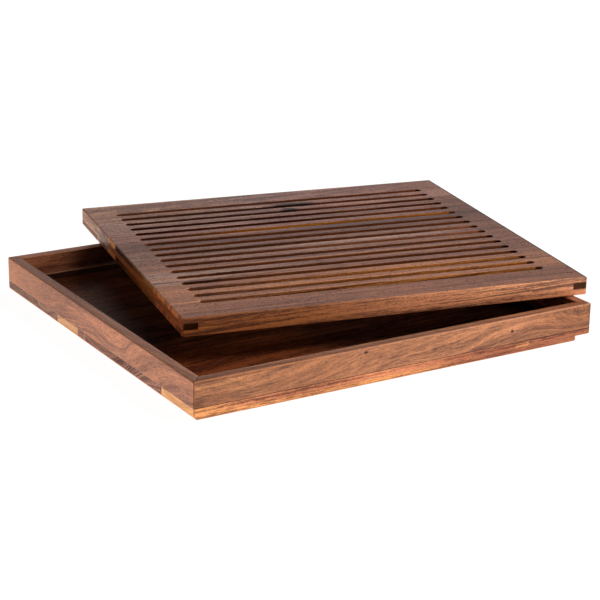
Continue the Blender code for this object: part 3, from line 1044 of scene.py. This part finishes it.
def slot_cutter(sizes):
    """One slot's cutter: an upright bar with half-round ends that flares to round the slot's lips."""
    radius = sizes.slot_width / 2
    reach = sizes.length / 2 - sizes.slot_margin
    lip = sizes.slot_lip
    middle = Vector((sizes.length / 2, 0, 0))
    low = middle - Vector((reach, radius, -lip))
    high = middle + Vector((reach, radius, sizes.thickness - lip))
    bm = block(low, high)
    # A bevel of the whole radius would fold over, so it stops just short and the corners are welded
    ease_edges(bm, upright_edges(bm), radius * 0.9999, SLOT_END_SEGMENTS)
    bmesh.ops.remove_doubles(bm, verts=bm.verts, dist=radius * 0.001)
    # The half-round ends are cut, not sanded, and take neither the paling nor the painted highlight
    marks = bm.faces.layers.float.get("arris")
    for face in bm.faces:
        face[marks] = 0
    quarter = math.pi / 2
    for up in (1, -1):
        face = max(bm.faces, key=lambda f: up * f.calc_center_median().z)
        for step in range(1, LIP_STEPS + 2):
            region = bmesh.ops.extrude_face_region(bm, geom=[face])["geom"]
            moved = [part for part in region if isinstance(part, bmesh.types.BMVert)]
            bmesh.ops.delete(bm, geom=[face], context="FACES_ONLY")
            face = next(part for part in region if isinstance(part, bmesh.types.BMFace))
            if step > LIP_STEPS:
                # The last step runs clear of the board
                bmesh.ops.translate(bm, verts=moved, vec=(0, 0, up * 5 * lip))
                continue
            before, angle = (step - 1) / LIP_STEPS * quarter, step / LIP_STEPS * quarter
            out = lip * (math.cos(before) - math.cos(angle))
            rise = lip * (math.sin(angle) - math.sin(before))
            for vert in moved:
                spine_x = min(max(vert.co.x, middle.x - reach + radius), middle.x + reach - radius)
                spine = Vector((spine_x, 0, vert.co.z))
                vert.co += (vert.co - spine).normalized() * out
            bmesh.ops.translate(bm, verts=moved, vec=(0, 0, up * rise))
    bmesh.ops.recalc_face_normals(bm, faces=bm.faces)
    return bm


def grid_blank(sizes):
    """The grid's board before it is slotted, from its front left bottom corner."""
    bm = block((0, 0, 0), (sizes.length, sizes.depth, sizes.thickness))
    ease_edges(bm, bm.edges, sizes.arris, 4)
    return bm


def subtract(blank, cutters):
    """A blank with each cutter taken out of it. All of them are bmeshes, and are used up."""
    objects = []
    for number, bm in enumerate([blank, *cutters]):
        mesh = bpy.data.meshes.new(f"subtract_{number}")
        bm.to_mesh(mesh)
        bm.free()
        piece = bpy.data.objects.new(f"subtract_{number}", mesh)
        bpy.context.scene.collection.objects.link(piece)
        objects.append(piece)
    for cutter in objects[1:]:
        boolean = objects[0].modifiers.new("cut", "BOOLEAN")
        boolean.operation = "DIFFERENCE"
        boolean.solver = "EXACT"
        boolean.object = cutter
    bpy.context.view_layer.update()
    result = bmesh.new()
    result.from_object(objects[0], bpy.context.evaluated_depsgraph_get())
    for piece in objects:
        mesh = piece.data
        bpy.data.objects.remove(piece)
        bpy.data.meshes.remove(mesh)
    return result


class BREADBOARD_OT_grid_staves(bpy.types.Operator):
    """Slots and grooves the grid's board and saws it into its five staves"""

    bl_idname = "breadboard.grid_staves"
    bl_label = "Grid staves"

    def execute(self, context):
        sizes = context.scene.bread_board_grid
        pattern = bpy.data.meshes.new("slot")
        single = slot_cutter(sizes)
        single.to_mesh(pattern)
        single.free()
        slots = bmesh.new()
        first = sizes.slots_back + (sizes.depth - sizes.slot_pitch * (sizes.slot_count - 1)) / 2
        for number in range(sizes.slot_count):
            before = len(slots.verts)
            slots.from_mesh(pattern)
            slots.verts.ensure_lookup_table()
            place = (0, first + number * sizes.slot_pitch, 0)
            bmesh.ops.translate(slots, verts=slots.verts[before:], vec=place)
        bpy.data.meshes.remove(pattern)
        over = sizes.tongue_depth
        foot = sizes.tongue_foot
        head = foot + sizes.tongue_height
        left = block((-over, -over, foot), (sizes.tongue_depth, sizes.depth + over, head))
        right = block((sizes.length - over, -over, foot), (sizes.length + over, sizes.depth + over, head))
        board = subtract(grid_blank(sizes), [slots, left, right])
        bmesh.ops.dissolve_limit(board, angle_limit=0.001, verts=board.verts, edges=board.edges)
        marks = board.faces.layers.float.new("slot_wall")
        for face in board.faces:
            middle = face.calc_center_median()
            from_end = min(middle.x, sizes.length - middle.x)
            from_side = min(middle.y, sizes.depth - middle.y)
            in_slots = from_end > sizes.slot_margin - sizes.slot_lip and from_side > sizes.arris
            face[marks] = 1 if in_slots and abs(face.normal.z) < UPRIGHT_RISE else 0
        lines = (0, *(share * sizes.depth for share in GRID_STAVE_SHARES), sizes.depth)
        slots = ("walnut_grid_warm",) * 2 + ("walnut_grid_grey",) * 3
        saw_staves(board, lines, "grid", "grid", grid_place())
        return {"FINISHED"}


class BREADBOARD_OT_grid_tongues(bpy.types.Operator):
    """Saws the two cross-grain tongues out of the grid's blank, so they end flush with it"""

    bl_idname = "breadboard.grid_tongues"
    bl_label = "Grid tongues"

    def execute(self, context):
        sizes = context.scene.bread_board_grid
        blank = grid_blank(sizes)
        saw(blank, (0, 0, sizes.tongue_foot), (0, 0, -1))
        saw(blank, (0, 0, sizes.tongue_foot + sizes.tongue_height), (0, 0, 1))
        for side, edge, out in (
            ("left", sizes.tongue_depth, 1),
            ("right", sizes.length - sizes.tongue_depth, -1),
        ):
            tongue = blank.copy()
            saw(tongue, (edge, 0, 0), (out, 0, 0))
            finish_piece(
                f"tongue_{side}", tongue, f"grid_tongue_{side}", "grid", grid_place()
            )
        blank.free()
        return {"FINISHED"}


# The lens in millimetres and where the camera stands and looks, fitted to the photograph's edges
LENS = 110.899
CAMERA_PLACE = (-0.83356, -1.3772, 0.55857)
CAMERA_RIGHT = (0.855269, -0.517964, 0.015137)
CAMERA_DOWN = (-0.153993, -0.28195, -0.94699)
CAMERA_AHEAD = (0.494774, 0.807601, -0.320906)

# Square softboxes, turned to the middle of the table: place, side, power in watts
SOFTBOXES = {
    "softbox_right": ((3.2, -0.7, 2.4), 2.6, 105),
    "softbox_high": ((0.95, -0.55, 1.5), 0.5, 6),
    "softbox_low": ((0.62, -0.85, 0.24), 0.45, 4.4),
}

# How bright the room and the table are to the camera, in the oil's sheen and to all other light
ROOM_GLOW = (1, 0.36, 0.09)
TABLE_GLOW = (0.97, 0.7, 1.5)

# Half the table's side, and how white its sheet is
TABLE_REACH = 8
SHEET_WHITE = 0.15


class BREADBOARD_OT_studio(bpy.types.Operator):
    """Sets the white table, the soft light and the camera"""

    bl_idname = "breadboard.studio"
    bl_label = "Studio"

    def execute(self, context):
        scene = context.scene

        bm = bmesh.new()
        bmesh.ops.create_grid(bm, x_segments=1, y_segments=1, size=TABLE_REACH)
        mesh = bpy.data.meshes.new("table")
        bm.to_mesh(mesh)
        bm.free()
        table = bpy.data.objects.new("table", mesh)
        scene.collection.objects.link(table)
        table.data.materials.append(white_table())

        world = bpy.data.worlds.new("studio")
        scene.world = world
        world.use_nodes = True
        tree = world.node_tree
        tree.nodes.clear()
        strength, _ = glow(tree, *ROOM_GLOW)
        background = add(tree, "ShaderNodeBackground", {"Color": (1, 1, 1, 1), "Strength": strength})
        output = tree.nodes.new("ShaderNodeOutputWorld")
        tree.links.new(background, output.inputs["Surface"])

        for name, (place, size, power) in SOFTBOXES.items():
            light = bpy.data.lights.new(name, "AREA")
            light.shape = "SQUARE"
            light.size = size
            light.energy = power
            softbox = bpy.data.objects.new(name, light)
            scene.collection.objects.link(softbox)
            softbox.location = place
            softbox.rotation_euler = Vector(place).to_track_quat("Z", "Y").to_euler()

        camera_data = bpy.data.cameras.new("camera")
        camera_data.lens = LENS
        camera = bpy.data.objects.new("camera", camera_data)
        scene.collection.objects.link(camera)
        axes = (Vector(CAMERA_RIGHT), -Vector(CAMERA_DOWN), -Vector(CAMERA_AHEAD))
        turned = Matrix(axes).transposed().to_4x4()
        camera.matrix_world = Matrix.Translation(CAMERA_PLACE) @ turned
        scene.camera = camera
        scene.view_settings.view_transform = "Standard"
        return {"FINISHED"}


def glow(tree, to_camera, in_sheen, elsewhere):
    """A strength that differs for the camera, for the oil's sheen and for all other light, and the
    socket that tells what the camera sees."""
    mirrored = add(tree, "ShaderNodeLightPath", {}, "Is Glossy Ray")
    seen = add(tree, "ShaderNodeLightPath", {}, "Is Camera Ray")
    strength = add(tree, "ShaderNodeMix", {"Factor": mirrored, "A": elsewhere, "B": in_sheen}, "Result")
    return add(tree, "ShaderNodeMix", {"Factor": seen, "A": strength, "B": to_camera}, "Result"), seen


def white_table():
    """White acrylic sheet, lit from below: it glows evenly and still takes a soft shadow."""
    material = bpy.data.materials.new("white_acrylic_table")
    material.use_nodes = True
    tree = material.node_tree
    tree.nodes.clear()
    strength, seen = glow(tree, *TABLE_GLOW)
    lamp = add(tree, "ShaderNodeEmission", {"Color": (1, 1, 1, 1), "Strength": strength})
    sheet = add(tree, "ShaderNodeBsdfDiffuse", {"Color": (SHEET_WHITE, SHEET_WHITE, SHEET_WHITE, 1)})
    both = add(tree, "ShaderNodeAddShader", {0: lamp, 1: sheet})
    shown = add(tree, "ShaderNodeMixShader", {"Fac": seen, 1: lamp, 2: both})
    output = tree.nodes.new("ShaderNodeOutputMaterial")
    tree.links.new(shown, output.inputs["Surface"])
    return material


STEPS = (
    BREADBOARD_OT_tray_walls,
    BREADBOARD_OT_seat_rails,
    BREADBOARD_OT_base_staves,
    BREADBOARD_OT_grid_staves,
    BREADBOARD_OT_grid_tongues,
    BREADBOARD_OT_studio,
)


class BREADBOARD_PT_panel(bpy.types.Panel):
    """Lists the steps that build the bread board"""

    bl_label = "Bread board"
    bl_idname = "BREADBOARD_PT_panel"
    bl_space_type = "VIEW_3D"
    bl_region_type = "UI"
    bl_category = "Bread board"

    def draw(self, context):
        for step in STEPS:
            self.layout.operator(step.bl_idname)


SETTINGS = {
    "bread_board_tray": BreadBoardTraySizes,
    "bread_board_grid": BreadBoardGridSizes,
    "bread_board_tones": BreadBoardTones,
    "bread_board_finish": BreadBoardFinish,
}
CLASSES = (*SETTINGS.values(), *STEPS, BREADBOARD_PT_panel)


def register():
    for cls in CLASSES:
        bpy.utils.register_class(cls)
    for name, group in SETTINGS.items():
        setattr(bpy.types.Scene, name, PointerProperty(type=group))


def unregister():
    for name in SETTINGS:
        delattr(bpy.types.Scene, name)
    for cls in reversed(CLASSES):
        bpy.utils.unregister_class(cls)


def main():
    register()
    bpy.ops.breadboard.tray_walls()
    bpy.ops.breadboard.seat_rails()
    bpy.ops.breadboard.base_staves()
    bpy.ops.breadboard.grid_staves()
    bpy.ops.breadboard.grid_tongues()
    bpy.ops.breadboard.studio()


if __name__ == "__main__":
    main()
